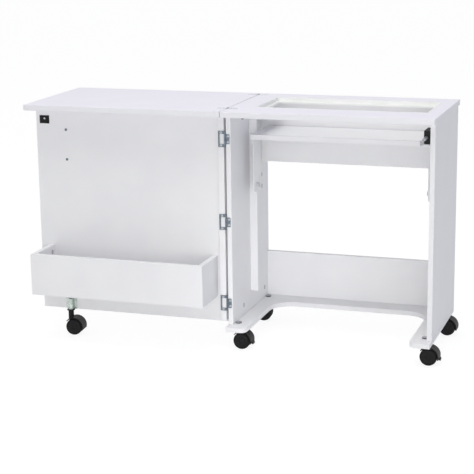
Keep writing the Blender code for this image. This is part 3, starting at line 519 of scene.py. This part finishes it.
def bumperProfile():
    radius, deep, wall = bumper["radius"], bumper["deep"], bumper["wall"]
    points = [(0, 0), (radius, 0), (radius, deep * wall)]
    for turn in bumper["dome"]:
        angle = math.radians(turn)
        points.append((radius * math.cos(angle) * bumper["taper"],
                       deep * (wall + (1 - wall) * math.sin(angle))))
    return points + [(0, deep)]


bumperMesh = lathe("bumper", bumperProfile(), bumper["facets"])
for tag in ("left", "right"):
    for height in ("lower", "upper"):
        name = f"wall_bumper_{tag}_{height}"
        spot = middle(name)
        made = place(f"bumper_{tag}_{height}", bumperMesh, (spot.x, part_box(name)[0].y, spot.z), -front,
                     "cabinet", mouldedRubber)
        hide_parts(name)

# hand knobs of the lift; a ring is a share of the radius and of the length
knob = {
    "radius": 8 * mm, "long": 7 * mm, "lobes": 8, "facets": 8, "dip": 0.9 * mm, "crease": 50,
    "rings": ((0.90, 0), (0.97, 0.12), (1.0, 0.3), (1.0, 0.72), (0.94, 0.9), (0.80, 0.98), (0.45, 1.0))}


def knobMesh():
    # a lobed hand knob: rounded flutes round a domed face, on a short shank
    work = bmesh.new()
    sides = knob["lobes"] * knob["facets"]
    rows = []
    for share, height in knob["rings"]:
        row = []
        for step in range(sides):
            angle = 2 * math.pi * step / sides
            flute = knob["dip"] * (0.5 - 0.5 * math.cos(knob["lobes"] * angle)) * min(1, share ** 4)
            spread = (knob["radius"] - flute) * share
            row.append(work.verts.new((spread * math.cos(angle), spread * math.sin(angle),
                                       height * knob["long"])))
        rows.append(row)
    for lower, upper in zip(rows, rows[1:]):
        for step in range(sides):
            after = (step + 1) % sides
            work.faces.new((lower[step], lower[after], upper[after], upper[step]))
    work.faces.new(list(reversed(rows[0])))
    work.faces.new(rows[-1])
    return keepMesh(work, "lobedKnob", knob["crease"])


lobedKnob = knobMesh()
for tag, way in (("left", 1), ("right", -1)):
    low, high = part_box(f"lift_knob_{tag}")
    spot = middle(f"lift_knob_{tag}")
    spot.x = (high.x if way > 0 else low.x) - way * knob["long"]
    place(f"lobedKnob_{tag}", lobedKnob, spot, way * side, "machine_lift",
          paleKnob)
    nodes[f"lift_knob_{tag}"].data.materials[0] = paleKnob

# plastic caps over the caster stems, each with a shallow dimple
stemCap = {"radius": 9.6 * mm, "rise": 0.6 * mm, "chamfer": 1.0 * mm, "shoulder": 0.5 * mm,
           "crown": 0.6 * mm, "rim": 5 * mm, "dimple": 4.4 * mm, "facets": 40}
rise = stemCap["rise"]
capMesh = lathe("stemCap", [(0, 0), (stemCap["radius"], 0), (stemCap["radius"], rise),
                            (stemCap["radius"] - stemCap["chamfer"], rise + stemCap["shoulder"]),
                            (stemCap["rim"], rise + stemCap["crown"]), (stemCap["dimple"], rise),
                            (0, rise)], stemCap["facets"])
for tag in casterTags[:4]:
    stem = Vector(joints[f"swivel_{tag}"]["pos_m"])
    stem.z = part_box(f"caster_frame_{tag}")[1].z
    place(f"stemCap_{tag}", capMesh, stem, up, f"caster_{tag}", mouldedPolypropylene)
print("bumpers, knobs and caps made")

# white paper floor, soft light and the camera
studio = {
    "floorSize": 30.0, "paper": "#F2F2F2", "floorGlow": 0.80, "glowLevel": 1.10,
    "backdrop": 1.0, "skyLevel": 0.56, "farWall": "#BFC7DE", "farSpan": (0.35, 0.95),
    "camera": {"lens": 108.52, "sensor": 36, "reach": 100, "at": (1.39205, -4.21565, 1.3983),
               "heading": 18.49, "tilt": 76.52, "roll": -0.78},
    # two broad boxes light the table, a small one reaches into the kneehole, a blue one cools +X
    "softBoxes": {
        "overheadBox": {"at": (0.1, -1.1, 4.0), "aim": (0, 0, 0.4), "power": 47, "wide": 1.8,
                        "deep": 1.5, "spread": 180, "tint": "#FFFFFF"},
        "frontBox": {"at": (0.9, -3.4, 0.75), "aim": (0, 0, 0.4), "power": 24, "wide": 1.6,
                     "deep": 1.2, "spread": 180, "tint": "#FFFFFF"},
        "kneeholeBox": {"at": (0.62, -1.5, 0.28), "aim": (0.14, 0.1, 0.2), "power": 0.17,
                        "wide": 0.3, "deep": 0.3, "spread": 30, "tint": "#FFFFFF"},
        "windowBox": {"at": (3.6, 0.6, 1.6), "aim": (0, 0, 0.4), "power": 2, "wide": 2.0,
                      "deep": 2.0, "spread": 180, "tint": "#7FA0FF"}}}


def seenDirectly(tree):
    # 1 where the camera, a reflection or a clear material looks at the surface, else 0
    path = addNode(tree, "LightPath", {})
    seen = addNode(tree, "Math", {"operation": "MAXIMUM"}, (0, path, "Is Camera Ray"),
                   (1, path, "Is Glossy Ray"))
    return addNode(tree, "Math", {"operation": "MAXIMUM"}, (0, seen, 0),
                   (1, path, "Is Transmission Ray"))


def studioFloor():
    # white paper that looks evenly bright and still takes the table's shadow
    work = bmesh.new()
    bmesh.ops.create_grid(work, x_segments=1, y_segments=1, size=studio["floorSize"] / 2)
    floor = bpy.data.objects.new("studioFloor", keepMesh(work, "studioFloor"))
    bpy.context.collection.objects.link(floor)
    finish = bpy.data.materials.new("paperSweep")
    finish.use_nodes = True
    tree = finish.node_tree
    tree.nodes.clear()
    paper = addNode(tree, "BsdfDiffuse", {"Color": linear(studio["paper"])})
    glow = addNode(tree, "Emission", {"Strength": studio["glowLevel"]})
    bright = addNode(tree, "BsdfDiffuse", {"Color": linear("#FFFFFF")})
    shown = addNode(tree, "MixShader", {"Fac": studio["floorGlow"]}, (1, bright, 0), (2, glow, 0))
    mix = addNode(tree, "MixShader", {}, (0, seenDirectly(tree), 0), (1, paper, 0), (2, shown, 0))
    addNode(tree, "OutputMaterial", {}, ("Surface", mix, 0))
    floor.data.materials.append(finish)


def studioSky():
    # an even white sky, a little dimmer and cooler towards +X, as by a shaded wall
    world = bpy.data.worlds.new("studioSky")
    bpy.context.scene.world = world
    world.use_nodes = True
    tree = world.node_tree
    tree.nodes.clear()
    around = addNode(tree, "TexCoord", {})
    way = addNode(tree, "SeparateXYZ", {}, ("Vector", around, "Generated"))
    least, most = studio["farSpan"]
    share = addNode(tree, "MapRange", {"From Min": least, "From Max": most}, ("Value", way, "X"))
    tint = addNode(tree, "Mix", {"data_type": "RGBA", 6: linear("#FFFFFF"),
                                 7: linear(studio["farWall"])}, ("Factor", share, 0))
    sky = addNode(tree, "Background", {"Strength": studio["skyLevel"]}, ("Color", tint, 2))
    shown = addNode(tree, "Background", {"Color": linear("#FFFFFF"), "Strength": studio["backdrop"]})
    mix = addNode(tree, "MixShader", {}, (0, seenDirectly(tree), 0), (1, sky, 0), (2, shown, 0))
    addNode(tree, "OutputWorld", {}, ("Surface", mix, 0))


def softBox(name, box):
    # a rectangular lamp, turned from where it stands to what it is aimed at
    lamp = bpy.data.lights.new(name, "AREA")
    lamp.shape = "RECTANGLE"
    lamp.color = linear(box["tint"])[:3]
    lamp.spread = math.radians(box["spread"])
    lamp.energy = box["power"]
    lamp.size = box["wide"]
    lamp.size_y = box["deep"]
    holder = bpy.data.objects.new(name, lamp)
    holder.location = box["at"]
    beam = Vector(box["aim"]) - Vector(box["at"])
    holder.rotation_euler = beam.to_track_quat("-Z", "Y").to_euler()
    bpy.context.collection.objects.link(holder)


def studioCamera():
    view = studio["camera"]
    lens = bpy.data.cameras.new("camera")
    lens.lens = view["lens"]
    lens.sensor_width = view["sensor"]
    lens.clip_end = view["reach"]
    camera = bpy.data.objects.new("camera", lens)
    bpy.context.collection.objects.link(camera)
    aim = Matrix.Identity(4)
    for turn, axis in ((view["heading"], "Z"), (view["tilt"], "X"), (view["roll"], "Z")):
        aim = aim @ Matrix.Rotation(math.radians(turn), 4, axis)
    camera.matrix_world = Matrix.Translation(view["at"]) @ aim
    bpy.context.scene.camera = camera


studioFloor()
studioSky()
for name, box in studio["softBoxes"].items():
    softBox(name, box)
studioCamera()
bpy.context.scene.view_settings.view_transform = "Standard"
print("studio set")
